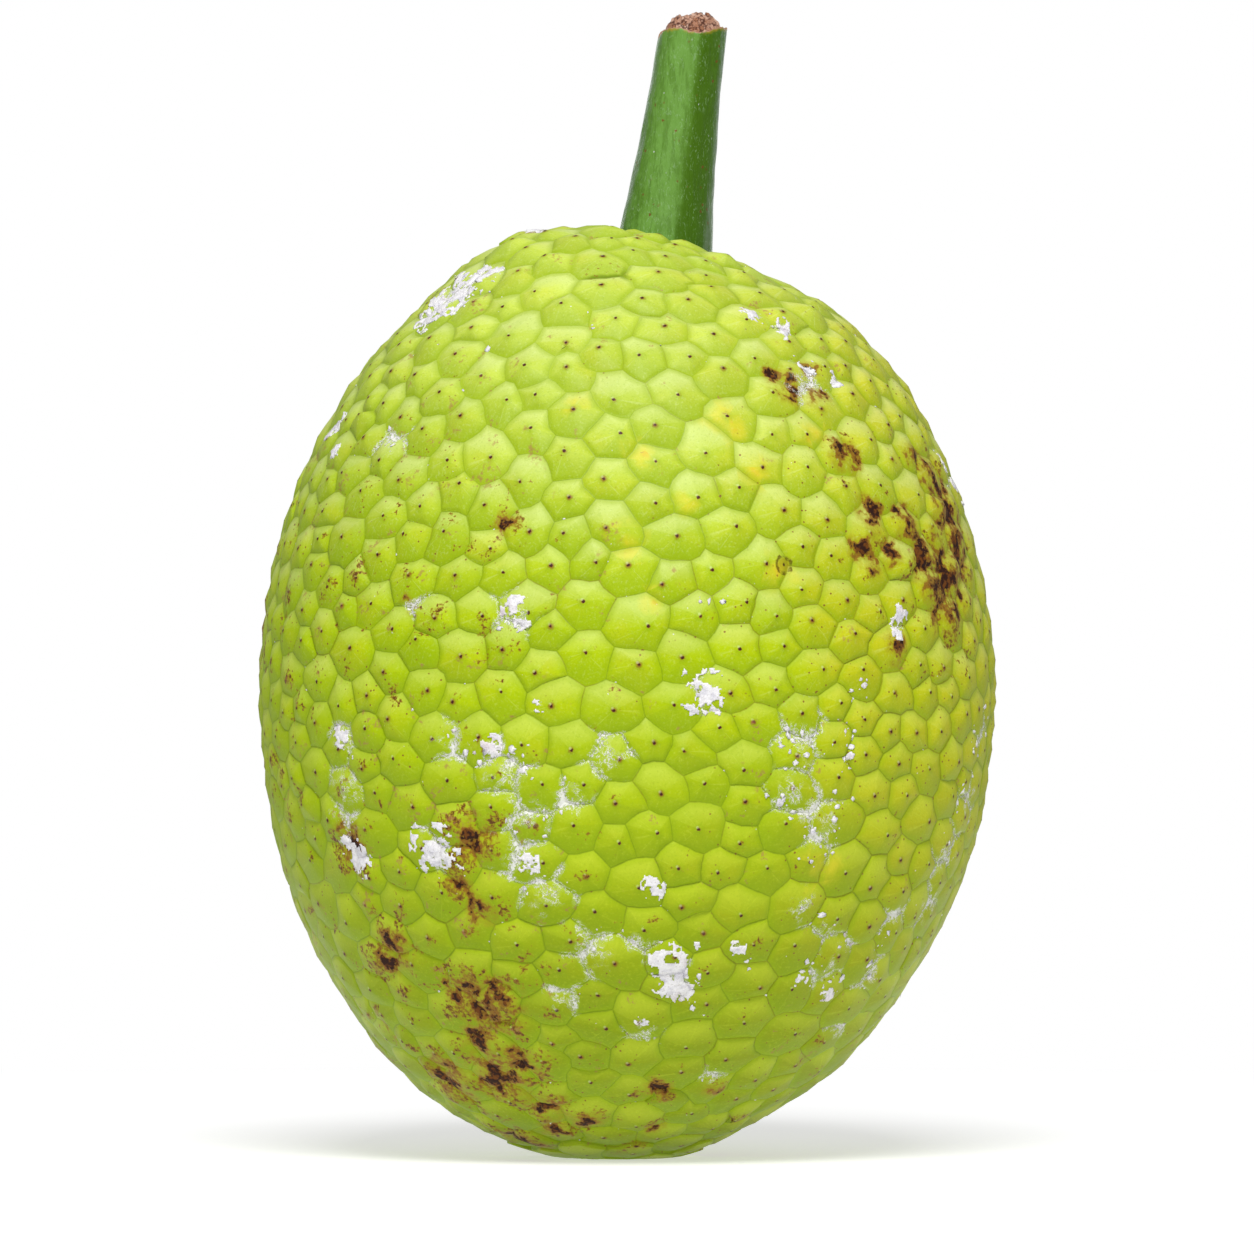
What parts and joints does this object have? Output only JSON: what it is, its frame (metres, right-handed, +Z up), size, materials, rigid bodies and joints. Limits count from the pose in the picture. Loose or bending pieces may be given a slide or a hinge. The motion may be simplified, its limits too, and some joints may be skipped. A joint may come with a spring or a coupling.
{
  "type": "breadfruit",
  "caption": "Whole ripe breadfruit, egg-shaped, with a net of low faceted rind scales and a short cut stem; stands on a small flat spot.",
  "frame": {"origin": "centre of the small flat spot at the lower end that the fruit stands on", "axes": "+Z up along the fruit to its stem, -Y towards the front, +X to the right seen from the front"},
  "size_m": [0.15, 0.1469, 0.2314],
  "materials": {
    "rind": "waxy yellow-green plant skin, darker in the grooves, brown pin spots and scabs, patches of dried white latex",
    "stem": "smooth green bark with a fine grey down and pale pores, brown torn fibres at the cut"
  },
  "bodies": {
    "root": {"fruit": "rind", "stem": "stem"}
  },
  "joints": []
}
